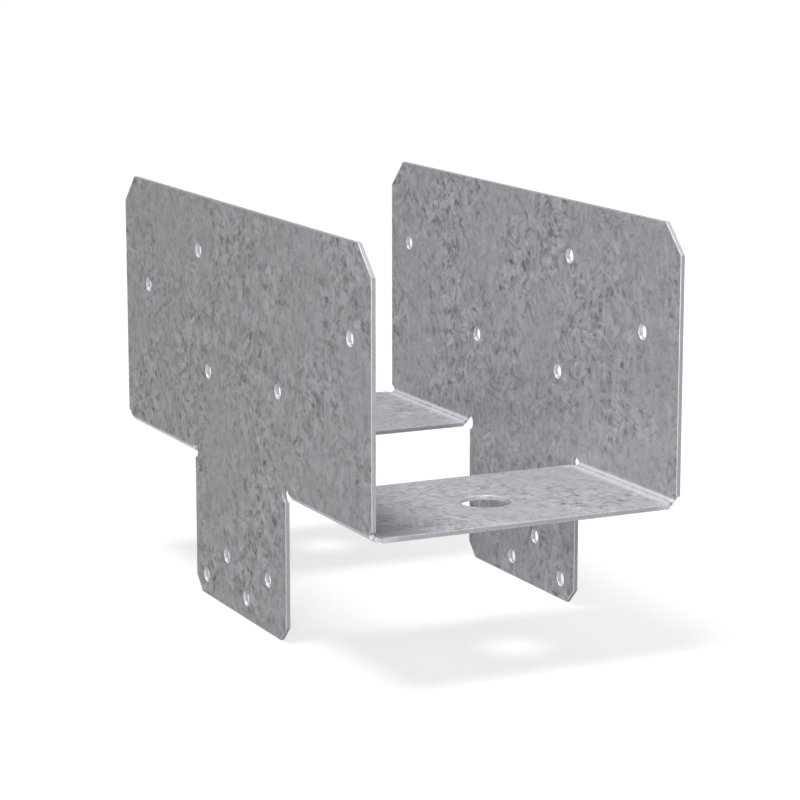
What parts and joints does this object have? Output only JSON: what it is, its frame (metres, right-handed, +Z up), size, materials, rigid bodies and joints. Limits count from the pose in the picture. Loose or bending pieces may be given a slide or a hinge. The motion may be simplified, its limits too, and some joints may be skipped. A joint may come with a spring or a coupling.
{
  "type": "column cap",
  "caption": "Folded sheet-steel cap that ties a beam to the top of a post: an open channel for the beam, with two flat legs below that are nailed to the post.",
  "frame": {"origin": "middle of the cap, at the level of the leg ends", "axes": "+X across the beam, +Y along the beam, +Z up"},
  "size_m": [0.144, 0.2752, 0.1839],
  "materials": {
    "galvanised_steel": "hot-dip galvanised sheet with a grey spangle, half dull"
  },
  "bodies": {
    "root": {"cap_body": "galvanised_steel"}
  },
  "joints": []
}
